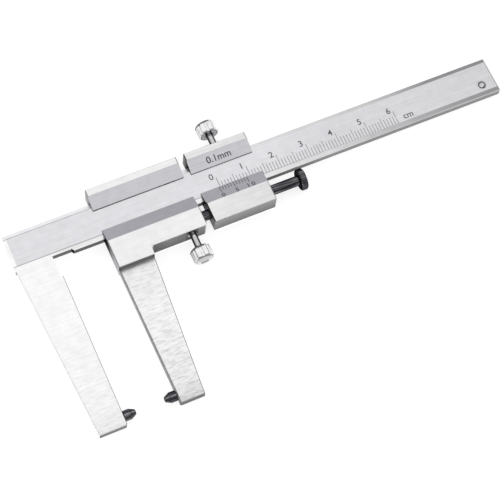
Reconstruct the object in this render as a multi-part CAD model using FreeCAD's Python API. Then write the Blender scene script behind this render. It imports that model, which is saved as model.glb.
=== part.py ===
import FreeCAD, Part
import math
import os

# A vernier gauge for the thickness of a brake disc, 0 to 60 mm, lying on its back.
#
# A bar with a fixed jaw at its left end carries two separate slides: the sliding jaw and the vernier
# slide. A headed rod is fixed in the sliding jaw and runs through the vernier slide. With the vernier
# slide locked, the jaw can be drawn back to clear the worn edge of a disc and pushed forward again
# until the rod's head stops on the vernier slide. All sizes are in millimetres.
#
# While it is modelled, x runs along the bar from its left end, y runs across it from its lower edge
# and z rises from the surface that the gauge lies on. The jaws point towards -y. The finished pieces
# are moved so that the origin is under the centre of the gauge's box.

V = FreeCAD.Vector

# The bar
bar_length = 161.75
bar_width = 12.0
bar_thickness = 3.0
bevel_width = 1.35
bevel_depth = 0.5
left_bevel = 1.0
right_bevel = 0.45
end_bevel_depth = 0.3

# The two jaws: flat blades that reach down from the bar
jaw_reach = 55.9
fixed_jaw_inset = 0.15
fixed_jaw_root = 12.45
fixed_jaw_end = 8.55
relief_along_bar = 5.3
relief_along_jaw = 5.9
relief_slope = 0.6
relief_depth = 0.75
sliding_jaw_root = 11.35
sliding_jaw_end = 7.65
sliding_jaw_lean = 0.6
blade_corner = 0.35
blade_edge = 0.2
measuring_edge = 0.45

# The measuring tips in the jaws
jaw_gap = 15.7
tip_from_end = 3.05
tip_diameter = 3.2
tip_length = 3.65
tip_cylinder = 1.9
tip_end_diameter = 1.7
tip_edge = 0.2
spigot_diameter = 1.6
spigot_length = 4.0

# The section shared by the two slides, which wrap round the bar and leave its scale open
slide_back = 1.5
slide_rise = 2.0
lower_rail = 8.45
upper_rail = 3.95
lower_lip = 2.4
upper_lip = 2.55
lip_edge = 0.4
lower_slope = 4.4
upper_slope = 4.3
spring_slot = 1.0
spring_slot_wall = 0.5
running_gap = 0.04
edge_chamfer = 0.25
face_chamfer = 0.15
end_chamfer = 0.25

# The sliding jaw's own block
jaw_slide_length = 29.5
pad_drop = 2.7
pad_fillet = 1.0
block_corner = 1.0

# The vernier slide
slide_gap = 2.5
vernier_length = 20.2
rest_reading = -0.5

# The headed rod
rod_diameter = 3.2
rod_depth_below_bar = 4.2
rod_grip = 2.4
rod_clearance = 0.05
head_diameter = 6.8
head_length = 2.0
head_edge = 0.3

# The two lock screws
screw_diameter = 2.2
screw_clearance = 0.04
screw_height = 3.5
jaw_screw_showing = 5.1
vernier_screw_showing = 4.3
knob_diameter = 6.5
knob_length = 3.9
knob_edge = 0.35
knob_rounding = 0.6
knob_grooves = 9
knob_groove_depth = 0.3
knob_groove_radius = 0.65
knob_turn = 96.0
knob_dish = 0.25
knob_dish_diameter = 4.6
screw_tip_edge = 0.3
mouth_depth = 0.5
mouth_widening = 0.55
jaw_screw_from_right = 4.65
vernier_screw_from_left = 10.65

# The leaf springs that take up the play above the bar
spring_thickness = 0.25
spring_width = 2.1
spring_inset = 0.6
spring_foot = 1.6

# The pin that keeps the slides on the bar
stop_from_end = 4.7
stop_height = 3.6
stop_diameter = 1.7
stop_projection = 0.9
stop_sink = 0.45
stop_edge = 0.2
stop_centre_mark = 0.3
stop_sink_width = 0.5

# How far a cutting shape reaches past what it cuts
overshoot = 1.0

# Heights above the surface that the gauge lies on
bar_back = slide_back
bar_front = bar_back + bar_thickness
blade_front = bar_front - bevel_depth
slide_front = bar_front + slide_rise
middle_height = slide_front / 2
blade_middle = (bar_back + blade_front) / 2

# Places along the bar
jaw_left = fixed_jaw_root + jaw_gap
jaw_right = jaw_left + jaw_slide_length
vernier_left = jaw_right + slide_gap
vernier_right = vernier_left + vernier_length
jaw_screw_x = jaw_right - jaw_screw_from_right
vernier_screw_x = vernier_left + vernier_screw_from_left
stop_x = bar_length - stop_from_end

# Places across the bar
tip_y = -jaw_reach + tip_from_end
slide_bottom = -lower_rail
pad_bottom = slide_bottom - pad_drop
slide_top = bar_width + upper_rail
slot_roof = bar_width + spring_slot
rod_y = -rod_depth_below_bar
knob_top = slide_top + vernier_screw_showing + knob_length

# The sliding jaw's edge leans away from the fixed jaw, and its tip sits on it at the tip's upper side
lean_length = jaw_reach + pad_bottom - blade_corner
lean_at_tip = sliding_jaw_lean * (pad_bottom - tip_y - tip_diameter / 2) / lean_length
moving_tip_seat = jaw_left + lean_at_tip
tip_gap = moving_tip_seat - fixed_jaw_root - 2 * tip_length
head_gap = tip_gap - rest_reading
head_left = vernier_right + head_gap

origin = V(bar_length / 2, (knob_top - jaw_reach) / 2, 0)


def outline_face(points):
    """A flat face inside a closed outline of points."""
    return Part.Face(Part.makePolygon(list(points) + [points[0]]))


def prism_x(outline_yz, x_from, x_to):
    """A bar of the given y, z section between two places along x."""
    face = outline_face([V(x_from, y, z) for y, z in outline_yz])
    return face.extrude(V(x_to - x_from, 0, 0))


def prism_z(outline_xy, z_from, z_to):
    """A plate of the given x, y outline between two heights."""
    face = outline_face([V(x, y, z_from) for x, y in outline_xy])
    return face.extrude(V(0, 0, z_to - z_from))


def turned(profile, base, axis):
    """A turned piece: profile is a list of (radius, distance along the axis)."""
    points = [V(r, 0, d) for r, d in profile]
    shape = outline_face(points).revolve(V(0, 0, 0), V(0, 0, 1), 360)
    shape.Placement = FreeCAD.Placement(base, FreeCAD.Rotation(V(0, 0, 1), axis))
    return Part.Solid(shape.Shells[0])


def edge_cutter(start, end, size):
    """A wedge that breaks the front edge from start to end, where the piece lies to its left."""
    along = V(end - start).normalize()
    inward = V(0, 0, 1).cross(along)
    up = V(0, 0, overshoot)
    base = start - along * overshoot
    wedge = outline_face([
        base + inward * (size + overshoot) + up,
        base - inward * overshoot + up,
        base - inward * overshoot - V(0, 0, size + overshoot),
    ])
    return wedge.extrude(along * (start.distanceToPoint(end) + 2 * overshoot))


def make_blade(outline, left_edge):
    """A jaw's blade. Its outline runs down its left side, along its end and up its right side."""
    blade = prism_z(outline, bar_back, blade_front)
    corners = [V(x, y, blade_front) for x, y in outline]
    sizes = [left_edge] + [blade_edge] * (len(outline) - 2)
    for start, end, size in zip(corners, corners[1:], sizes):
        blade = blade.cut(edge_cutter(start, end, size))
    return blade


def break_end_edges(slide, x_from, x_to):
    """Chamfer the flat front and back edges of a slide's two end faces."""
    c = edge_chamfer
    f = end_chamfer
    outline = [
        V(x_from + c, -jaw_reach, 0),
        V(x_to - c, -jaw_reach, 0),
        V(x_to, -jaw_reach, c),
        V(x_to, -jaw_reach, slide_front - f),
        V(x_to - f, -jaw_reach, slide_front),
        V(x_from + f, -jaw_reach, slide_front),
        V(x_from, -jaw_reach, slide_front - f),
        V(x_from, -jaw_reach, c),
    ]
    return slide.common(outline_face(outline).extrude(V(0, jaw_reach + slide_top, 0)))


def make_bar():
    """The bar with its bevelled front edges, in one piece with the fixed jaw."""
    section = [
        (0, bar_back),
        (bar_width, bar_back),
        (bar_width, blade_front),
        (bar_width - bevel_width, bar_front),
        (bevel_width, bar_front),
        (0, blade_front),
    ]
    bar = prism_x(section, 0, bar_length)
    for x_end, inward in ((0, left_bevel), (bar_length, -right_bevel)):
        corner = outline_face([
            V(x_end, 0, bar_front),
            V(x_end + inward, 0, bar_front),
            V(x_end, 0, bar_front - end_bevel_depth),
        ])
        bar = bar.cut(corner.extrude(V(0, bar_width, 0)))
    blade = [
        (fixed_jaw_inset, 0),
        (fixed_jaw_root - fixed_jaw_end, -jaw_reach),
        (fixed_jaw_root - blade_corner, -jaw_reach),
        (fixed_jaw_root, -jaw_reach + blade_corner),
        (fixed_jaw_root, 0),
    ]
    bar = bar.fuse(make_blade(blade, blade_edge)).removeSplitter()
    relief = [
        (fixed_jaw_root - relief_depth, relief_depth),
        (fixed_jaw_root - relief_depth, -relief_along_jaw),
        (fixed_jaw_root + relief_depth, -relief_along_jaw - 2 * relief_slope),
        (fixed_jaw_root + relief_along_bar + 2 * relief_slope, -relief_depth),
        (fixed_jaw_root + relief_along_bar, relief_depth),
    ]
    bar = bar.cut(prism_z(relief, 0, slide_front))
    bar = bar.cut(tip_hole(fixed_jaw_root, -1))
    return bar.cut(stop_pin_hole())


def tip_hole(jaw_edge, direction):
    """The hole in a jaw's edge that holds a tip's spigot."""
    base = V(jaw_edge, tip_y, blade_middle)
    return Part.makeCylinder(spigot_diameter / 2, spigot_length, base, V(direction, 0, 0))


def make_tip(jaw_edge, direction):
    """A measuring tip: a spigot in the jaw, a short cylinder and a blunt cone."""
    r = tip_diameter / 2
    profile = [
        (0, -spigot_length),
        (spigot_diameter / 2, -spigot_length),
        (spigot_diameter / 2, 0),
        (r - tip_edge, 0),
        (r, tip_edge),
        (r, tip_cylinder),
        (tip_end_diameter / 2, tip_length - tip_edge),
        (tip_end_diameter / 2 - tip_edge, tip_length),
        (0, tip_length),
    ]
    return turned(profile, V(jaw_edge, tip_y, blade_middle), V(direction, 0, 0))


def stop_pin_hole():
    """The hole for the stop pin, with a sunk mouth in the bar's front face."""
    r = stop_diameter / 2
    profile = [
        (0, 0),
        (r, 0),
        (r, bar_thickness - stop_sink),
        (r + stop_sink_width, bar_thickness),
        (r + stop_sink_width, bar_thickness + overshoot),
        (0, bar_thickness + overshoot),
    ]
    return turned(profile, V(stop_x, stop_height, bar_back), V(0, 0, 1))


def make_stop_pin():
    """A pin, flush in front, that stands out of the bar's back."""
    r = stop_diameter / 2
    low = bar_back - stop_projection
    profile = [
        (0, low),
        (r - stop_edge, low),
        (r, low + stop_edge),
        (r, bar_front - stop_edge),
        (r - stop_edge, bar_front),
        (stop_centre_mark, bar_front),
        (0, bar_front - stop_centre_mark),
    ]
    return turned(profile, V(stop_x, stop_height, 0), V(0, 0, 1))


def slide_section():
    """The y, z section of a slide: a back, two rails, and lips over the bar's edges."""
    c = edge_chamfer
    f = face_chamfer
    floor = bar_back - running_gap
    roof = bar_front + running_gap
    return [
        (slide_bottom + c, 0),
        (slide_top - c, 0),
        (slide_top, c),
        (slide_top, slide_front - f),
        (slide_top - f, slide_front),
        (bar_width - upper_lip + upper_slope, slide_front),
        (bar_width - upper_lip, roof + lip_edge),
        (bar_width - upper_lip, roof),
        (bar_width + running_gap, roof),
        (bar_width + running_gap, bar_front - spring_slot_wall),
        (slot_roof, bar_front - spring_slot_wall),
        (slot_roof, floor),
        (-running_gap, floor),
        (-running_gap, roof),
        (lower_lip, roof),
        (lower_lip, roof + lip_edge),
        (lower_lip - lower_slope, slide_front),
        (slide_bottom + f, slide_front),
        (slide_bottom, slide_front - f),
        (slide_bottom, c),
    ]


def screw_hole(x, mouth_y, direction, depth):
    """A lock screw's hole, with a widened mouth."""
    r = screw_diameter / 2 + screw_clearance
    profile = [
        (0, -mouth_depth),
        (r + mouth_widening, -mouth_depth),
        (r + mouth_widening, 0),
        (r, mouth_depth),
        (r, depth),
        (0, depth),
    ]
    return turned(profile, V(x, mouth_y, screw_height), V(0, direction, 0))


def make_sliding_jaw():
    """The sliding jaw: its slide, the pad below it and the blade, in one piece."""
    body = prism_x(slide_section(), jaw_left, jaw_right)
    pad_right = jaw_left + sliding_jaw_root
    inside = slide_bottom + lower_rail / 2
    pad_section = [
        (pad_bottom + edge_chamfer, 0),
        (inside, 0),
        (inside, slide_front),
        (pad_bottom + face_chamfer, slide_front),
        (pad_bottom, slide_front - face_chamfer),
        (pad_bottom, edge_chamfer),
    ]
    body = body.fuse(prism_x(pad_section, jaw_left, pad_right))
    end_left = jaw_left + sliding_jaw_lean
    blade = [
        (jaw_left, pad_bottom),
        (end_left, -jaw_reach + blade_corner),
        (end_left + blade_corner, -jaw_reach),
        (end_left + sliding_jaw_end, -jaw_reach),
        (pad_right, pad_bottom),
    ]
    body = break_end_edges(body, jaw_left, jaw_right)
    body = body.fuse(make_blade(blade, measuring_edge)).removeSplitter()
    body = body.cut(corner_cutter(jaw_right, slide_bottom, block_corner))
    body = body.fuse(corner_filler(pad_right, slide_bottom, pad_fillet)).removeSplitter()
    body = body.cut(tip_hole(moving_tip_seat, 1))
    rod_seat = V(jaw_right, rod_y, middle_height)
    body = body.cut(Part.makeCylinder(rod_diameter / 2, rod_grip, rod_seat, V(-1, 0, 0)))
    return body.cut(screw_hole(jaw_screw_x, slide_bottom, 1, lower_rail))


def corner_cutter(x, y, radius):
    """What rounds off an upright outer corner that lies at the slide's lower right."""
    side = radius + overshoot
    height = slide_front + 2 * overshoot
    square = Part.makeBox(side, side, height, V(x - radius, y - overshoot, -overshoot))
    return square.cut(Part.makeCylinder(radius, height, V(x - radius, y + radius, -overshoot)))


def corner_filler(x, y, radius):
    """What rounds an upright inner corner, between the pad's right side and the slide above it."""
    low = edge_chamfer
    height = slide_front - face_chamfer - low
    square = Part.makeBox(radius, radius, height, V(x, y - radius, low))
    return square.cut(Part.makeCylinder(radius, height, V(x + radius, y - radius, low)))


def make_vernier_slide():
    """The slide that carries the vernier scale on its lower slope."""
    body = prism_x(slide_section(), vernier_left, vernier_right)
    body = break_end_edges(body, vernier_left, vernier_right)
    bore_radius = rod_diameter / 2 + rod_clearance
    bore_length = vernier_length + 2 * overshoot
    bore_start = V(vernier_left - overshoot, rod_y, middle_height)
    body = body.cut(Part.makeCylinder(bore_radius, bore_length, bore_start, V(1, 0, 0)))
    return body.cut(screw_hole(vernier_screw_x, slide_top, -1, upper_rail - spring_slot))


def make_rod():
    """The headed rod that joins the sliding jaw to the vernier slide."""
    r = rod_diameter / 2
    head = head_diameter / 2
    length = head_left - jaw_right
    profile = [
        (0, -rod_grip),
        (r, -rod_grip),
        (r, length),
        (head - head_edge, length),
        (head, length + head_edge),
        (head, length + head_length - head_edge),
        (head - head_edge, length + head_length),
        (0, length + head_length),
    ]
    return turned(profile, V(jaw_right, rod_y, middle_height), V(1, 0, 0))


def make_knob():
    """A round knob along +z with a rounded far edge, a dished end and grooves for the fingers."""
    r = knob_diameter / 2
    dish = knob_dish_diameter / 2
    profile = [
        (0, 0),
        (r - knob_edge, 0),
        (r, knob_edge),
        (r, knob_length),
        (dish, knob_length),
        (dish - knob_dish, knob_length - knob_dish),
        (0, knob_length - knob_dish),
    ]
    knob = turned(profile, V(0, 0, 0), V(0, 0, 1))
    far_edges = [e for e in knob.Edges if math.isclose(e.BoundBox.ZMin, knob_length)]
    rim = max(far_edges, key=lambda e: e.Length)
    knob = knob.makeFillet(knob_rounding, [rim])
    groove_centre = r - knob_groove_depth + knob_groove_radius
    for i in range(knob_grooves):
        turn = 2 * math.pi * i / knob_grooves
        base = V(groove_centre * math.cos(turn), groove_centre * math.sin(turn), 0)
        knob = knob.cut(Part.makeCylinder(knob_groove_radius, knob_length, base))
    return knob


def make_lock_screw(base, direction, reach, showing):
    """A lock screw whose shank reaches into a slide; direction points out of it, towards the knob.

    Its first groove is turned from +x over the top, the same for both screws.
    """
    r = screw_diameter / 2
    profile = [
        (0, -reach),
        (r - screw_tip_edge, -reach),
        (r, -reach + screw_tip_edge),
        (r, showing + knob_edge),
        (0, showing + knob_edge),
    ]
    knob = make_knob()
    knob.translate(V(0, 0, showing))
    screw = turned(profile, V(0, 0, 0), V(0, 0, 1)).fuse(knob).removeSplitter()
    upright = FreeCAD.Rotation(V(0, 0, 1), V(0, direction, 0))
    turn = FreeCAD.Rotation(V(0, 1, 0), -knob_turn)
    screw.Placement = FreeCAD.Placement(base, turn * upright)
    return Part.Solid(screw.Shells[0])


def make_leaf_spring(x_from, x_to):
    """A bowed leaf: its feet lie on the bar's top edge and its crown bears on the slot's roof."""
    low = bar_width + running_gap
    crown = slot_roof - spring_thickness
    left = x_from + spring_inset
    right = x_to - spring_inset
    middle = (left + right) / 2

    def leaf_line(lift):
        foot_left = V(left + spring_foot, low + lift, 0)
        foot_right = V(right - spring_foot, low + lift, 0)
        bow = Part.Arc(foot_left, V(middle, crown + lift, 0), foot_right).toShape()
        left_foot = Part.makeLine(V(left, low + lift, 0), foot_left)
        right_foot = Part.makeLine(foot_right, V(right, low + lift, 0))
        return [left_foot, bow, right_foot]

    high = low + spring_thickness
    edges = leaf_line(0) + leaf_line(spring_thickness)
    edges.append(Part.makeLine(V(right, low, 0), V(right, high, 0)))
    edges.append(Part.makeLine(V(left, high, 0), V(left, low, 0)))
    leaf = Part.Face(Part.Wire(Part.sortEdges(edges)[0]))
    room_beside = bar_thickness - spring_slot_wall - spring_width
    leaf.translate(V(0, 0, bar_back + room_beside / 2))
    return leaf.extrude(V(0, 0, spring_width))


jaw_screw_base = V(jaw_screw_x, slide_bottom, screw_height)
vernier_screw_base = V(vernier_screw_x, slide_top, screw_height)
jaw_screw_reach = lower_rail - running_gap
vernier_screw_reach = upper_rail - spring_slot - running_gap

pieces = {
    "main_beam": make_bar(),
    "fixed_tip": make_tip(fixed_jaw_root, 1),
    "stop_pin": make_stop_pin(),
    "jaw_slider": make_sliding_jaw(),
    "moving_tip": make_tip(moving_tip_seat, -1),
    "stop_rod": make_rod(),
    "jaw_gib_spring": make_leaf_spring(jaw_left, jaw_right),
    "jaw_lock_screw": make_lock_screw(
        jaw_screw_base, -1, jaw_screw_reach, jaw_screw_showing),
    "vernier_block": make_vernier_slide(),
    "vernier_gib_spring": make_leaf_spring(vernier_left, vernier_right),
    "vernier_lock_screw": make_lock_screw(
        vernier_screw_base, 1, vernier_screw_reach, vernier_screw_showing),
}

os.makedirs("parts", exist_ok=True)
for name, shape in pieces.items():
    shape.translate(-origin)
    shape.exportStep("parts/" + name + ".step")
    print(name, len(shape.Solids), round(shape.Volume, 3), shape.isValid())
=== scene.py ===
import math
import bpy
from mathutils import Matrix, Quaternion, Vector


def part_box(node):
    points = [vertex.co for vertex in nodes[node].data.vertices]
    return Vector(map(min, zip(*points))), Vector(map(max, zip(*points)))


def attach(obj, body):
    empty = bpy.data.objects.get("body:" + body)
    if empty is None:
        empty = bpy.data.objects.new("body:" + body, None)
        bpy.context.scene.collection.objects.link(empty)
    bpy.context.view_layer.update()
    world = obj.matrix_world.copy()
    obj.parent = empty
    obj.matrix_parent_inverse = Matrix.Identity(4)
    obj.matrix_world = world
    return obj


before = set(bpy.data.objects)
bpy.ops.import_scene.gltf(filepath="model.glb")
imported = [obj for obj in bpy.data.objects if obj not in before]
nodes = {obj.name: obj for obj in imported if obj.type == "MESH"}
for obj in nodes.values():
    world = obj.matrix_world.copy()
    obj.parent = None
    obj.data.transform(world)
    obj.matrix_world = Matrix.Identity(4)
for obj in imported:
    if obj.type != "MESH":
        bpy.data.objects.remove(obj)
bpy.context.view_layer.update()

# Lengths are in millimetres where they are named, and in metres once they are placed. Places on the
# gauge are counted from the beam's lower left corner, along the beam and across it.
MM = 0.001
X, Y, Z = Vector((1, 0, 0)), Vector((0, 1, 0)), Vector((0, 0, 1))

# The camera, at the photograph's viewing angle, with its nearest distance in metres
CAMERA_PLACE = Vector((-38.65, -188.15, 452.0))
CAMERA_AIM = Vector((66.43, -20.12, 4.5))
CAMERA_ROLL = math.radians(8.66)
CAMERA_LENS = 118.4
SENSOR_WIDTH = 36.0
CAMERA_NEAREST = 0.01

# The studio, in metres and watts: a wide soft light overhead, a grey world and a floor that looks white
LIGHT_PLACE = (0.108, 0.813, 0.85)
LIGHT_SIZE = (3.2, 3.1)
LIGHT_TURN = math.radians(30)
LIGHT_WATTS = 20.3
WORLD_COLOUR = (0.35, 0.35, 0.355, 1)
FLOOR_SIZE = 3.0
FLOOR_GRAIN_SCALE = 3.0
FLOOR_TONES = (0.38, 0.42)
FLOOR_GLOW = 0.77

# The beam and the section of its two slides, across the beam from its lower edge
BEAM_WIDTH = 12.0
BEVEL_WIDTH = 1.35
BEVEL_DEPTH = 0.5
LOWER_LIP_FOOT = 2.4
UPPER_LIP_FOOT = 2.55
LOWER_SLOPE = 4.4
UPPER_SLOPE = 4.3
SLOPE_FOOT_HEIGHT = 4.94
SLOPE_TOP_HEIGHT = 6.5

# The jaws and the tips, across the beam, and the knobs of the lock screws, along their axes
JAW_ROOT = -14
JAW_END = -56
TIPS_BELOW = (-30, -29)
KNOB_LENGTH = 3.9

# Painted highlight on the beam: its lower edge is painted bright on the bevel and on the top of the wall,
# but not on the jaw. Each ridge carries a dark line, with its place across the beam, its strength, and
# where it has faded out.
PAINTED_HIGHLIGHT_EDGE = 0.2
PAINTED_HIGHLIGHT_WALL = 0.2
PAINTED_HIGHLIGHT_ABOVE = (-0.5, -0.3)
RIDGES = ((BEVEL_WIDTH, 0.9, 125), (BEAM_WIDTH - BEVEL_WIDTH, 0.7, 85))
RIDGE_FADE = 60
RIDGE_WIDTH = (0.1, 0.2)
STOP_PIN_PLACE = (157.05, 3.6)
STOP_PIN_RING = (0.85, 1.35)

# Where one tone of the steel gives way to the next, in millimetres to each side of the border
BLEND = 0.1
RING_BLEND = 0.05

# Masks over the steel. Each pair is where a mask begins and ends, in the upright part of a surface's
# normal, its part to the right, or its part to the back, away from the jaws' points.
FRONT_UPRIGHT = (0.2, 0.4)
CHAMFER_UPRIGHT = (0.6, 0.65)
CHAMFER_TO_SLOPE = (0.78, 0.83)
RIDGE_UPRIGHT = (0.9, 0.93)
FACE_UPRIGHT = (0.955, 0.985)
EDGE_LEFT = (-0.2, -0.1)
EDGE_RIGHT = (0.1, 0.2)
WALL_LEFT = (-0.75, -0.7)
WALL_AWAY = (0.3, 0.6)
SLOPE_TO_BACK = (-0.1, 0.1)
CHAMFER_TO_BACK = (0.2, 0.4)

# Painted shade: the walls darken towards the floor, from one height to the other and by this share
WALL_SHADE_HEIGHTS = (0.3, 5.5)
WALL_SHADE = 0.5

# The steel's texture. Noise is given by its scale, or three scales that stretch it along the grain, then
# by its detail and roughness. Most of its values lie in the noise range.
NOISE_RANGE = (0.3, 0.7)
GRINDING = ((70, 2400, 2400), 4.0, 0.6)
SCRATCHES = ((330, 1500, 1500), 5.0, 0.65)
SCRATCH_RANGE = (0.45, 0.7)
CLOUDS = (380.0, 3.0)
CLOUD_DEPTH = 0.035
ROUGH_SPREAD = (-0.06, 0.08)
CHAMFER_ROUGH = 0.7
GRINDING_BUMP = {"Strength": 0.12, "Distance": 0.00002}

# The plating of the lock screws, with painted reflections: the knob's dark line below its rim, by its
# distance from the rim, from the axis and to the side, then the shank, the end face and the knob's left
# side
PLATING_TONES = (0.75, 0.95)
SPECKS = (900.0, 3.0)
POLISH = (0.06, 0.16)
RIM_LINE_BELOW = (0.85, 0.75)
RIM_LINE_RADIUS = (2.2, 2.4)
RIM_LINE_ASIDE = (0.9, 1.3)
RIM_LINE_STRENGTH = (0.9, 0.1)
RIM_LINE_TONE = 0.13
SHANK_RADIUS = (1.15, 1.25)
SHANK_REFLECTION_TONES = ((-1.1, 0.04), (-0.85, 0.08), (-0.65, 0.5), (0.0, 0.62), (0.3, 0.45), (0.5, 0.12),
               (0.8, 0.05), (1.1, 0.03))
END_FACE = (-0.85, -0.75)
LEFT_SIDE = (-0.8, -0.5)
LEFT_SIDE_ROUGH = 0.6

# The blackened steel of the tips and the rod, with a painted highlight along the tips. Each tone has its
# value and how blue it is.
BLACK_STREAKS = ((150, 2500, 2500), 4.0)
BLACK_TONES = ((0.045, 0.08), (0.22, 0.06))
BLACK_RANGE = (0.45, 0.65)
BLACK_ROUGH = (0.12, 0.3)
BLACK_MIRROR_TONE = 0.2
BLACK_BUMP = {"Strength": 0.25, "Distance": 0.00004}
TIP_HIGHLIGHT_TONE = (0.3, 0.06)
TIP_HIGHLIGHT_TURN = 0.05
TIP_HIGHLIGHT_WIDTH = (0.08, 0.16)
TIP_HIGHLIGHT_RANGE = (0.35, 0.5)

# The etched marks
ETCHED_NOISE = (1500.0, 2.0)
ETCHED_SPREAD = (0.7, 1.3)
ETCHED_BLUE = 0.03
ETCHED_ROUGH = 0.7
ETCHED_MIRROR = 0.2

# The printed scale on the beam
PRINT_HEIGHT = 0.008
ZERO_FROM_LEFT = 66.65
MARKS = 60
MARK_WIDTH = 0.17
MARK_FOOT = 1.25
MARK_TOPS = {10: 5.75, 5: 4.95, 1: 4.15}
DIGIT_EVERY = 10
DIGIT_SIZE = 2.85
DIGIT_LEFT = 1.35
DIGIT_MIDDLE = 6.3
DIGIT_BOLD = 0.035
UNIT_PLACE = (64.0, 2.9)
UNIT_SIZE = 2.9

# The vernier on the slopes of its block
VERNIER_MARKS = 10
VERNIER_STEP = 0.9
VERNIER_ZERO_FROM_LEFT = 6.0
VERNIER_MARK_WIDTH = 0.2
VERNIER_MARK_START = 0.1
VERNIER_MARK_LENGTHS = {5: 2.3, 1: 1.7}
VERNIER_DIGITS = (0, 5, 10)
VERNIER_DIGIT_SIZE = 2.25
VERNIER_DIGIT_SPACE = 1.45
VERNIER_BOLD = 0.035
VERNIER_DIGIT_DOWN = 3.8
VERNIER_UNIT_SIZE = 2.95
VERNIER_UNIT_RIGHT = 3.85
VERNIER_UNIT_UP = 2.1


class MaterialNodes:
    """A new node material, with short ways to add the nodes that work out its values and colours."""

    def __init__(self, name):
        self.material = bpy.data.materials.new(name)
        self.material.use_nodes = True
        self.tree = self.material.node_tree
        self.shader = self.tree.nodes["Principled BSDF"]

    def feed(self, socket, value):
        """Give a socket a value, or the output of another node."""
        if isinstance(value, bpy.types.NodeSocket):
            self.tree.links.new(value, socket)
        else:
            socket.default_value = value

    def set(self, name, value):
        """Give one of the shader's sockets a value, or the output of a node."""
        self.feed(self.shader.inputs[name], value)

    def add(self, kind, settings=None, **inputs):
        """A node of that kind. Its inputs are given by name, or by i and their number."""
        node = self.tree.nodes.new(kind)
        for key, value in (settings or {}).items():
            setattr(node, key, value)
        for key, value in inputs.items():
            numbered = key[0] == "i" and key[1:].isdigit()
            socket = node.inputs[int(key[1:])] if numbered else node.inputs[key.replace("_", " ")]
            self.feed(socket, value)
        return node

    def math(self, operation, a, b=0.0):
        return self.add("ShaderNodeMath", {"operation": operation}, i0=a, i1=b).outputs[0]

    def vector(self, operation, a, **inputs):
        return self.add("ShaderNodeVectorMath", {"operation": operation}, i0=a, **inputs)

    def times(self, a, b):
        return self.math("MULTIPLY", a, b)

    def span(self, value, low, high, to_low=0.0, to_high=1.0):
        """Value as it goes from low to high, put on the scale from to_low to to_high and held there."""
        node = self.add("ShaderNodeMapRange", Value=value, From_Min=low, From_Max=high,
                        To_Min=to_low, To_Max=to_high)
        return node.outputs[0]

    def mix(self, factor, a, b):
        """Colour a where the factor is nought, and colour b where it is one."""
        return self.add("ShaderNodeMix", {"data_type": "RGBA"}, i0=factor, i6=a, i7=b).outputs[2]

    def ramp(self, value, stops):
        """A colour that follows value through stops, each a place and its colour."""
        low, high = stops[0][0], stops[-1][0]
        node = self.add("ShaderNodeValToRGB", Fac=self.span(value, low, high))
        points = node.color_ramp.elements
        while len(points) < len(stops):
            points.new(0.5)
        for point, (place, colour) in zip(points, stops):
            point.position = (place - low) / (high - low)
            point.color = colour
        return node.outputs[0]

    def noise(self, place, scale, detail, roughness=0.5):
        """Noise over places. A scale of three numbers stretches it."""
        if isinstance(scale, tuple):
            place = self.add("ShaderNodeMapping", i0=place, i3=scale).outputs[0]
            scale = 1.0
        node = self.add("ShaderNodeTexNoise", i0=place, Scale=scale, Detail=detail, Roughness=roughness)
        return node.outputs[0]


def tone(value, blue=0.0):
    """A grey of that linear value, bluish where blue is above nought and yellowish below it."""
    return (value * (1 - blue / 2), value * (1 - blue / 2), value * (1 + blue), 1.0)


def scratch_shade(net, place, from_edge, jaw_below, depths):
    """How bright the short dark scratches leave a jaw, with their depths at its end and at its root."""
    scratches = net.noise(place, *SCRATCHES)
    deep = net.span(from_edge, JAW_END, JAW_ROOT, *depths)
    on_jaw = net.times(net.span(from_edge, jaw_below - BLEND, jaw_below + BLEND, 1.0, 0.0), deep)
    return net.math("SUBTRACT", 1.0, net.times(on_jaw, net.span(scratches, *SCRATCH_RANGE)))


def worn_beam(net, colour, tones, upright, from_left, from_edge):
    """The beam's colour with a dark line along each of its two ridges and the ring round the stop pin."""
    for ridge, strength, end in RIDGES:
        away = net.math("ABSOLUTE", net.math("SUBTRACT", from_edge, ridge))
        on_ridge_line = net.times(net.span(away, *RIDGE_WIDTH, 1.0, 0.0), net.span(upright, *RIDGE_UPRIGHT))
        fading = net.span(from_left, end - RIDGE_FADE, end, strength, 0.0)
        colour = net.mix(net.times(on_ridge_line, fading), colour, tones["ridge"])
    flat_spot = net.add("ShaderNodeCombineXYZ", i0=from_left, i1=from_edge).outputs[0]
    away = net.vector("DISTANCE", flat_spot, i1=(*STOP_PIN_PLACE, 0)).outputs["Value"]
    inner, outer = STOP_PIN_RING
    ring = net.times(net.span(away, inner - RING_BLEND, inner + RING_BLEND),
                     net.span(away, outer - RING_BLEND, outer + RING_BLEND, 1.0, 0.0))
    return net.mix(ring, colour, tones["ring"])


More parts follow.
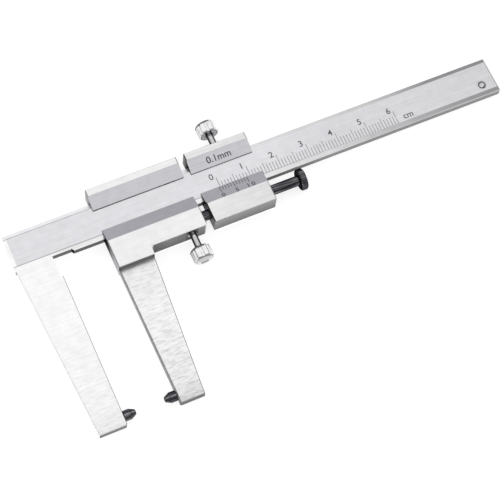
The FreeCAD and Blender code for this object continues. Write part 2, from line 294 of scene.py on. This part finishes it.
def steel(name, tones, grain=0.05, rough=0.3, jaw_below=None, scratched=(0.0, 0.0), beam=False):
    """Ground steel: fine lines along X, and tones with painted light on faces, slopes, edges and walls.

    tones gives each kind of surface one colour, or stops along X or Y, each a place in millimetres
    and its colour; these tones hold painted reflections and shade. Walls are painted darker towards the
    floor as shade, and those that face away have a plain tone. Below the place across the beam that
    jaw_below gives, the front has the jaw's tone and its scratches. The beam also has a dark line along
    each of its two ridges, a painted highlight along its lower edge and the ring round the stop pin."""
    net = MaterialNodes(name)
    place = net.add("ShaderNodeTexCoord").outputs
    spot = net.add("ShaderNodeSeparateXYZ", i0=place["Object"]).outputs
    normal = net.add("ShaderNodeSeparateXYZ", i0=place["Normal"]).outputs
    upright = net.math("ABSOLUTE", normal["Z"])
    from_left = net.times(net.math("SUBTRACT", spot["X"], corner.x), 1 / MM)
    from_edge = net.times(net.math("SUBTRACT", spot["Y"], corner.y), 1 / MM)

    def toned(kind):
        given = tones[kind]
        if not isinstance(given, dict):
            return given
        (axis, stops), = given.items()
        return net.ramp(from_left if axis == "X" else from_edge, stops)

    # The front: faces, slopes and edges
    face = toned("face")
    if jaw_below is not None:
        face = net.mix(net.span(from_edge, jaw_below - BLEND, jaw_below + BLEND), toned("jaw"), face)
    slope_front = toned("slope_front")
    # Painted highlight along the beam's lower edge, on the bevel
    if beam:
        unhighlighted = net.span(from_edge, PAINTED_HIGHLIGHT_EDGE, PAINTED_HIGHLIGHT_EDGE + BLEND)
        slope_front = net.mix(unhighlighted, toned("edge_highlight"), slope_front)
    slope = net.mix(net.span(normal["Y"], *SLOPE_TO_BACK), slope_front, toned("slope_back"))
    slope = net.mix(net.span(normal["X"], *EDGE_LEFT), toned("edge_left"), slope)
    slope = net.mix(net.span(normal["X"], *EDGE_RIGHT), slope, toned("edge_right"))
    front = net.mix(net.span(upright, *FACE_UPRIGHT), slope, face)

    # The walls, with painted shade towards the floor
    height = net.times(spot["Z"], 1 / MM)
    wall = net.mix(net.span(height, *WALL_SHADE_HEIGHTS, WALL_SHADE, 0.0), toned("wall"), tone(0.0))
    # Painted highlight on the top of the beam's lower wall
    if beam:
        below_face = net.times(net.math("SUBTRACT", beam_high.z, spot["Z"]), 1 / MM)
        highlight_down_to = BEVEL_DEPTH + PAINTED_HIGHLIGHT_WALL
        edge_highlight = net.times(net.span(below_face, highlight_down_to, highlight_down_to + BLEND, 1.0, 0.0),
                           net.span(from_edge, *PAINTED_HIGHLIGHT_ABOVE))
        wall = net.mix(edge_highlight, wall, toned("edge_highlight"))
    wall = net.mix(net.span(normal["Y"], *WALL_AWAY), wall, PLAIN_WALL)
    wall = net.mix(net.span(normal["X"], *WALL_AWAY), wall, PLAIN_WALL)
    wall = net.mix(net.span(normal["X"], *WALL_LEFT), toned("wall_left"), wall)

    # The whole colour, shaded by the grinding lines, faint clouds and the scratches
    colour = net.mix(net.span(upright, *FRONT_UPRIGHT), wall, front)
    if beam:
        colour = worn_beam(net, colour, tones, upright, from_left, from_edge)
    lines = net.noise(place["Object"], *GRINDING)
    clouds = net.noise(place["Object"], *CLOUDS)
    shade = net.times(net.span(lines, *NOISE_RANGE, 1 - grain, 1 + grain),
                      net.span(clouds, *NOISE_RANGE, 1 - CLOUD_DEPTH, 1 + CLOUD_DEPTH))
    if jaw_below is not None:
        shade = net.times(shade, scratch_shade(net, place["Object"], from_edge, jaw_below, scratched))
    net.set("Base Color", net.vector("SCALE", colour, Scale=shade).outputs[0])

    # Chamfers are dull unless they face the back. A left wall seen edge on keeps its painted shade.
    chamfer = net.times(net.span(upright, *CHAMFER_UPRIGHT), net.span(upright, *CHAMFER_TO_SLOPE, 1.0, 0.0))
    dull = net.times(chamfer, net.span(normal["Y"], *CHAMFER_TO_BACK, 1.0, 0.0))
    ground = net.span(lines, 0.0, 1.0, *(rough + change for change in ROUGH_SPREAD))
    net.set("Roughness", net.span(dull, 0.0, 1.0, ground, CHAMFER_ROUGH))
    net.set("Normal", net.add("ShaderNodeBump", Height=lines, **GRINDING_BUMP).outputs[0])
    net.set("Specular Tint", net.mix(net.span(normal["X"], *WALL_LEFT), toned("wall_left"), tone(1.0)))
    net.set("Metallic", 1.0)
    return net.material


def chrome(name, screw, knob_top, end_of, end_reflection_tones):
    """Bright plating on a lock screw, with painted reflections: a shank dark at its sides and bright in the
    middle, a thin dark line round the knob's far rim, and an end face whose tones follow the distance from
    the axis or the height above it, in millimetres."""
    net = MaterialNodes(name)
    place = net.add("ShaderNodeTexCoord").outputs
    normal = net.add("ShaderNodeSeparateXYZ", i0=place["Normal"]).outputs
    along = net.add("ShaderNodeSeparateXYZ", i0=place["Object"]).outputs["Y"]
    low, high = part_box(screw)
    from_axis = net.vector("SUBTRACT", place["Object"], i1=(low + high) / 2).outputs[0]
    from_axis = net.vector("MULTIPLY", from_axis, i1=(1 / MM, 0, 1 / MM)).outputs[0]
    radius = net.vector("LENGTH", from_axis).outputs["Value"]
    spot = net.add("ShaderNodeSeparateXYZ", i0=from_axis).outputs
    aside, height = spot["X"], spot["Z"]

    specks = net.noise(place["Object"], *SPECKS)
    colour = net.mix(net.span(specks, *NOISE_RANGE), *(tone(value) for value in PLATING_TONES))
    line_start, line_end = (knob_top - below * MM for below in RIM_LINE_BELOW)
    line = net.times(net.span(along, line_start, line_end), net.span(radius, *RIM_LINE_RADIUS))
    line = net.times(line, net.span(aside, *RIM_LINE_ASIDE, *RIM_LINE_STRENGTH))
    colour = net.mix(line, colour, tone(RIM_LINE_TONE))
    # Painted reflection across the shank: dark at its sides, bright in the middle
    shank = net.ramp(aside, [(away, tone(value)) for away, value in SHANK_REFLECTION_TONES])
    colour = net.mix(net.span(radius, *SHANK_RADIUS), shank, colour)
    end = net.ramp({"radius": radius, "height": height}[end_of], end_reflection_tones)
    net.set("Base Color", net.mix(net.span(normal["Y"], *END_FACE), end, colour))
    polish = net.span(specks, 0.0, 1.0, *POLISH)
    net.set("Roughness", net.span(normal["X"], *LEFT_SIDE, LEFT_SIDE_ROUGH, polish))
    net.set("Metallic", 1.0)
    return net.material


def blackened(name):
    """Blackened steel with thin streaks along X and, on the tips, a painted highlight along the top."""
    net = MaterialNodes(name)
    place = net.add("ShaderNodeTexCoord").outputs
    spot = net.add("ShaderNodeSeparateXYZ", i0=place["Object"]).outputs
    normal = net.add("ShaderNodeSeparateXYZ", i0=place["Normal"]).outputs
    streaks = net.noise(place["Object"], *BLACK_STREAKS)
    colour = net.mix(net.span(streaks, *BLACK_RANGE), *(tone(*given) for given in BLACK_TONES))
    tips_low, tips_high = (corner.y + across * MM for across in TIPS_BELOW)
    on_tips = net.span(spot["Y"], tips_low, tips_high, 1.0, 0.0)
    # Painted highlight along the top of each tip
    from_top = net.math("ABSOLUTE", net.math("ADD", normal["Y"], TIP_HIGHLIGHT_TURN))
    line = net.times(on_tips, net.span(from_top, *TIP_HIGHLIGHT_WIDTH, 1.0, 0.0))
    line = net.times(line, net.span(streaks, *TIP_HIGHLIGHT_RANGE))
    net.set("Base Color", net.mix(line, colour, tone(*TIP_HIGHLIGHT_TONE)))
    net.set("Roughness", net.span(streaks, *NOISE_RANGE, *BLACK_ROUGH))
    net.set("Specular Tint", tone(BLACK_MIRROR_TONE))
    net.set("Metallic", 1.0)
    net.set("Normal", net.add("ShaderNodeBump", Height=streaks, **BLACK_BUMP).outputs[0])
    return net.material


def etched(name, value):
    """The grey of an etched mark, a little uneven."""
    net = MaterialNodes(name)
    place = net.add("ShaderNodeTexCoord").outputs
    uneven = net.noise(place["Object"], *ETCHED_NOISE)
    dark, light = (tone(value * share, ETCHED_BLUE) for share in ETCHED_SPREAD)
    net.set("Base Color", net.mix(net.span(uneven, *NOISE_RANGE), dark, light))
    net.set("Roughness", ETCHED_ROUGH)
    net.set("Specular IOR Level", ETCHED_MIRROR)
    return net.material


beam_low, beam_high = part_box("main_beam")
beam_bottom = beam_high.y - BEAM_WIDTH * MM
corner = Vector((beam_low.x, beam_bottom, 0))

screw_low, screw_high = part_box("jaw_lock_screw")
screw_from_left = ((screw_low.x + screw_high.x) / 2 - corner.x) / MM

# The looks. The tones hold painted reflections that change along the gauge as the surroundings that the
# steel mirrors do, and the jaw slider's lower wall has painted shade round the mouth of its lock screw.
PLAIN_WALL = tone(0.5, 0.02)
# Painted reflections and shade on the beam: the face, slopes and edges dim towards the right end, the wall
# is painted dark in the shade of the slides, and the left walls are painted light only at the left end.
BEAM_STEEL = steel("beam_steel", {
    "face": {"X": [(0, tone(0.75, 0.02)), (88, tone(0.75, 0.02)), (104, tone(0.7, 0.02)),
                   (132, tone(0.695, 0.02)), (162, tone(0.65, 0.02))]},
    "jaw": {"Y": [(-56, tone(0.86)), (-50, tone(0.93)), (-20, tone(0.95)), (0, tone(0.94))]},
    "slope_back": {"X": [(0, tone(0.95, 0.02)), (60, tone(0.85, 0.02)), (88, tone(0.78, 0.01)),
                         (107, tone(0.71)), (121, tone(0.63)), (127, tone(0.56, 0.01)),
                         (134, tone(0.44, 0.02)), (142, tone(0.33, 0.02)), (162, tone(0.31, 0.02))]},
    "slope_front": {"X": [(0, tone(0.95)), (12, tone(0.93)), (15, tone(0.84)), (28, tone(0.84)),
                          (60, tone(0.89)), (90, tone(0.74, 0.01)), (102, tone(0.68, 0.01)),
                          (116, tone(0.56, 0.01)), (129, tone(0.48, 0.02)), (142, tone(0.37, 0.02)),
                          (153, tone(0.33, 0.02)), (162, tone(0.3, 0.02))]},
    # painted highlight tones along the beam's lower edge
    "edge_highlight": {"X": [(0, tone(0.97)), (12, tone(0.95)), (15, tone(0.86)), (28, tone(0.86)),
                     (60, tone(0.92)), (90, tone(0.8)), (104, tone(0.7)),
                     (118, tone(0.6)), (140, tone(0.52)), (162, tone(0.5))]},
    "edge_left": tone(0.97), "edge_right": tone(0.5),
    "wall": {"X": [(0, tone(0.12)), (14, tone(0.09)), (28, tone(0.06)), (46, tone(0.012)),
                   (84, tone(0.045)), (94, tone(0.15)), (100, tone(0.28)), (162, tone(0.28))]},
    "wall_left": {"X": [(0, tone(0.98)), (10, tone(0.95)), (12, tone(0.12))]},
    "ridge": tone(0.4, 0.02), "ring": tone(0.45, 0.02),
}, grain=0.055, rough=0.25, jaw_below=-0.02, scratched=(0.16, 0.02), beam=True)
# Painted reflections on the slides' slopes: those facing the back are darker and bluer than those facing
# the front, and the front slopes are painted white from 8 to 12.5 mm below the beam, over the pad's fillet.
SLOPE_FRONT = {"Y": [(-56, tone(0.59, 0.03)), (-13, tone(0.59, 0.03)), (-12.5, tone(1.0)),
                     (-8, tone(1.0)), (-7.5, tone(0.59, 0.03)), (3, tone(0.59, 0.03))]}
SLOPE_BACK = {"X": [(28, tone(0.43, 0.05)), (58, tone(0.395, 0.05)), (60, tone(0.415, 0.05)),
                    (81, tone(0.42, 0.05))]}
# Painted light and shade on the jaw slider: the jaw is painted brightest just below the pad, the edges and
# walls carry painted reflections, and the left wall is painted dark where it stands against the beam.
JAW_STEEL = steel("jaw_steel", {
    "face": tone(0.87),
    "jaw": {"Y": [(-56, tone(0.71, -0.01)), (-50, tone(0.88)), (-30, tone(0.94)), (-14, tone(0.885)),
                  (-12.6, tone(0.9)), (-11.4, tone(1.0))]},
    "slope_back": SLOPE_BACK, "slope_front": SLOPE_FRONT,
    "edge_left": {"Y": [(-56, tone(0.55)), (-12, tone(0.5)), (-8, tone(0.45)), (16, tone(0.45))]},
    "edge_right": {"Y": [(-56, tone(0.3)), (-20, tone(0.2)), (-11.4, tone(0.15)), (-11, tone(0.5)),
                         (2, tone(0.45)), (11, tone(0.15)), (16, tone(0.15))]},
    # painted shade on the lower wall round the lock screw's mouth
    "wall": {"X": [(28, tone(0.07)), (41, tone(0.065)), (45, tone(0.165, 0.02)),
                   (screw_from_left - 2.6, tone(0.15, 0.02)), (screw_from_left - 1.5, tone(0.012)),
                   (screw_from_left + 1.3, tone(0.012)), (screw_from_left + 1.9, tone(0.17, 0.02)),
                   (58, tone(0.19, 0.02))]},
    "wall_left": {"Y": [(-56, tone(0.5)), (-12, tone(0.68, 0.02)), (-7, tone(0.58, 0.03)),
                        (-5, tone(0.4, 0.02)), (-2.5, tone(0.15)), (-1, tone(0.01)), (2, tone(0.01)),
                        (10, tone(0.1)), (13, tone(0.52)), (16, tone(0.61))]},
}, grain=0.05, jaw_below=-11.2, scratched=(0.38, 0.24))
# Painted reflections and shade on the vernier block: the face dims to the right, and its left end and left
# chamfer are painted dark as shade in the gap to the jaw slider.
VERNIER_STEEL = steel("vernier_steel", {
    "face": {"X": [(60, tone(0.81)), (81, tone(0.735))]},
    "slope_back": SLOPE_BACK, "slope_front": SLOPE_FRONT,
    "edge_left": {"Y": [(-9, tone(0.04)), (9, tone(0.04)), (12, tone(0.13)), (16, tone(0.16))]},
    "edge_right": {"Y": [(-9, tone(0.5)), (2, tone(0.45)), (11, tone(0.15)), (16, tone(0.15))]},
    "wall": tone(0.26, 0.01),
    "wall_left": {"Y": [(-9, tone(0.4)), (0, tone(0.2)), (9, tone(0.05)), (12, tone(0.1)),
                        (16, tone(0.5))]},
}, grain=0.085)
SPRING_STEEL = steel("spring_steel", {
    kind: tone(0.02) for kind in ("face", "slope_back", "slope_front", "edge_left", "edge_right",
                                 "wall", "wall_left")
})
# Painted reflections on the knobs' end faces, by height on the jaw's knob and in rings by radius on the
# vernier's.
JAW_CHROME = chrome("jaw_screw_chrome", "jaw_lock_screw", screw_low.y + KNOB_LENGTH * MM, "height", [
    (-3.3, tone(0.35)), (-2.9, tone(0.4)), (-2.6, tone(0.58)), (0.8, tone(0.52)), (1.5, tone(0.35)),
    (2.0, tone(0.14)), (3.3, tone(0.18)),
])
vernier_knob_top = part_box("vernier_lock_screw")[1].y
VERNIER_CHROME = chrome("vernier_screw_chrome", "vernier_lock_screw", vernier_knob_top, "radius", [
    (1.1, tone(0.02)), (1.3, tone(0.08)), (1.6, tone(0.27, 0.04)), (2.45, tone(0.33, 0.04)),
    (2.6, tone(0.08, 0.04)), (2.8, tone(0.1, 0.04)), (2.9, tone(0.6)), (3.05, tone(0.6)),
    (3.15, tone(0.05)), (3.3, tone(0.05)),
])
BLACK_STEEL = blackened("black_steel")
ETCHED = etched("etched_marks", 0.24)
ETCHED_DIGIT = etched("etched_digits", 0.15)
ETCHED_SLOPE = etched("etched_slope_marks", 0.08)

looks = {
    "main_beam": BEAM_STEEL,
    "stop_pin": BEAM_STEEL,
    "jaw_slider": JAW_STEEL,
    "vernier_block": VERNIER_STEEL,
    "fixed_tip": BLACK_STEEL,
    "moving_tip": BLACK_STEEL,
    "stop_rod": BLACK_STEEL,
    "jaw_lock_screw": JAW_CHROME,
    "vernier_lock_screw": VERNIER_CHROME,
    "jaw_gib_spring": SPRING_STEEL,
    "vernier_gib_spring": SPRING_STEEL,
}
for node, material in looks.items():
    nodes[node].data.materials.clear()
    nodes[node].data.materials.append(material)


def strips(name, quads, material, body):
    """One flat mesh of thin marks, each given by its four corners."""
    mesh = bpy.data.meshes.new(name)
    points = [point for quad in quads for point in quad]
    faces = [(4 * i, 4 * i + 1, 4 * i + 2, 4 * i + 3) for i in range(len(quads))]
    mesh.from_pydata(points, [], faces)
    mesh.materials.append(material)
    piece = bpy.data.objects.new(name, mesh)
    bpy.context.scene.collection.objects.link(piece)
    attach(piece, body)


def lettering(name, words, place, right, up, size, material, body, bold, space=1.0):
    """Printed words centred on a place, with their baseline along right."""
    curve = bpy.data.curves.new(name, "FONT")
    curve.body = words
    curve.size = size * MM
    curve.offset = bold * MM
    curve.space_character = space
    curve.align_x = "CENTER"
    curve.align_y = "CENTER"
    curve.materials.append(material)
    piece = bpy.data.objects.new(name, curve)
    bpy.context.scene.collection.objects.link(piece)
    turn = Matrix((right, up, right.cross(up))).transposed().to_4x4()
    piece.matrix_world = Matrix.Translation(place) @ turn
    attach(piece, body)


# The main scale, on the beam's front face
scale_zero = corner + X * ZERO_FROM_LEFT * MM + Z * (beam_high.z + PRINT_HEIGHT * MM)
marks = []
for i in range(MARKS + 1):
    kind = 10 if i % 10 == 0 else 5 if i % 5 == 0 else 1
    left, right, top = i - MARK_WIDTH / 2, i + MARK_WIDTH / 2, MARK_TOPS[kind]
    ends = [(left, MARK_FOOT), (right, MARK_FOOT), (right, top), (left, top)]
    marks.append([scale_zero + Vector((x, y, 0)) * MM for x, y in ends])
strips("beam_marks", marks, ETCHED, "beam")
for k in range(MARKS // DIGIT_EVERY + 1):
    place = scale_zero + Vector((DIGIT_EVERY * k - DIGIT_LEFT, DIGIT_MIDDLE, 0)) * MM
    lettering(f"beam_digit_{k}", str(k), place, X, Y, DIGIT_SIZE, ETCHED_DIGIT,
              "beam", DIGIT_BOLD)
place = scale_zero + Vector((*UNIT_PLACE, 0)) * MM
lettering("beam_unit", "cm", place, X, Y, UNIT_SIZE, ETCHED_DIGIT, "beam", DIGIT_BOLD)


def slope(foot, run):
    """A slope's foot just above its surface, and the direction up the slope, from the slides' section."""
    rise = Vector((0, run, SLOPE_TOP_HEIGHT - SLOPE_FOOT_HEIGHT)).normalized()
    normal = X.cross(rise) if run > 0 else rise.cross(X)
    start = Vector((0, beam_bottom, 0)) + Vector((0, foot, SLOPE_FOOT_HEIGHT)) * MM
    return start + normal * PRINT_HEIGHT * MM, rise


# The vernier scale, on the lower slope of its block, and its unit on the upper slope
block_low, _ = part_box("vernier_block")
vernier_zero = block_low.x + VERNIER_ZERO_FROM_LEFT * MM
start, down = slope(LOWER_LIP_FOOT, -LOWER_SLOPE)
half = VERNIER_MARK_WIDTH * MM / 2
marks = []
for i in range(VERNIER_MARKS + 1):
    x = vernier_zero + i * VERNIER_STEP * MM
    top = start + down * VERNIER_MARK_START * MM
    bottom = start + down * VERNIER_MARK_LENGTHS[5 if i % 5 == 0 else 1] * MM
    marks.append([(x - half, *bottom.yz), (x + half, *bottom.yz), (x + half, *top.yz), (x - half, *top.yz)])
strips("vernier_marks", marks, ETCHED_SLOPE, "vernier")
for i in VERNIER_DIGITS:
    place = start + down * VERNIER_DIGIT_DOWN * MM + X * (vernier_zero + i * VERNIER_STEP * MM)
    lettering(f"vernier_digit_{i}", str(i), place, X, -down, VERNIER_DIGIT_SIZE, ETCHED_SLOPE,
              "vernier", VERNIER_BOLD, VERNIER_DIGIT_SPACE)
start, up = slope(BEAM_WIDTH - UPPER_LIP_FOOT, UPPER_SLOPE)
place = start + up * VERNIER_UNIT_UP * MM + X * (vernier_zero + VERNIER_UNIT_RIGHT * MM)
lettering("vernier_unit", "0.1mm", place, X, up, VERNIER_UNIT_SIZE, ETCHED_SLOPE,
          "vernier", VERNIER_BOLD)


def make_floor():
    """A plain white floor that stays white to the camera and in reflections, and takes a soft shadow."""
    bpy.ops.mesh.primitive_plane_add(size=FLOOR_SIZE, location=(0, 0, 0))
    floor = bpy.context.object
    floor.name = "floor"
    net = MaterialNodes("floor_white")
    grain = net.add("ShaderNodeTexNoise", Scale=FLOOR_GRAIN_SCALE).outputs[0]
    net.set("Base Color", net.mix(grain, *(tone(value) for value in FLOOR_TONES)))
    net.set("Roughness", 1.0)
    net.set("Specular IOR Level", 0.0)
    path = net.add("ShaderNodeLightPath").outputs
    seen = path["Is Camera Ray"]
    for other in ("Is Glossy Ray", "Is Transmission Ray"):
        seen = net.math("MAXIMUM", seen, path[other])
    net.set("Emission Strength", net.times(seen, FLOOR_GLOW))
    net.set("Emission Color", (1, 1, 1, 1))
    floor.data.materials.append(net.material)


def make_light():
    """The soft light, which hangs level and is turned about the upright axis."""
    light = bpy.data.lights.new("top_light", "AREA")
    light.shape = "RECTANGLE"
    light.size, light.size_y = LIGHT_SIZE
    light.energy = LIGHT_WATTS
    softbox = bpy.data.objects.new("top_light", light)
    softbox.location = LIGHT_PLACE
    softbox.rotation_euler = (0, 0, LIGHT_TURN)
    bpy.context.scene.collection.objects.link(softbox)


def make_world():
    """The even grey that lies all round."""
    world = bpy.data.worlds.new("studio")
    bpy.context.scene.world = world
    world.use_nodes = True
    background = world.node_tree.nodes["Background"]
    background.inputs["Color"].default_value = WORLD_COLOUR
    background.inputs["Strength"].default_value = 1.0


make_floor()
make_world()
make_light()

camera = bpy.data.objects.new("camera", bpy.data.cameras.new("camera"))
bpy.context.scene.collection.objects.link(camera)
camera.data.lens = CAMERA_LENS
camera.data.sensor_width = SENSOR_WIDTH
camera.data.clip_start = CAMERA_NEAREST
camera.location = corner + CAMERA_PLACE * MM
view = (CAMERA_AIM - CAMERA_PLACE).to_track_quat("-Z", "Y")
camera.rotation_mode = "QUATERNION"
camera.rotation_quaternion = view @ Quaternion(Z, CAMERA_ROLL)
bpy.context.scene.camera = camera
bpy.context.scene.view_settings.view_transform = "Standard"
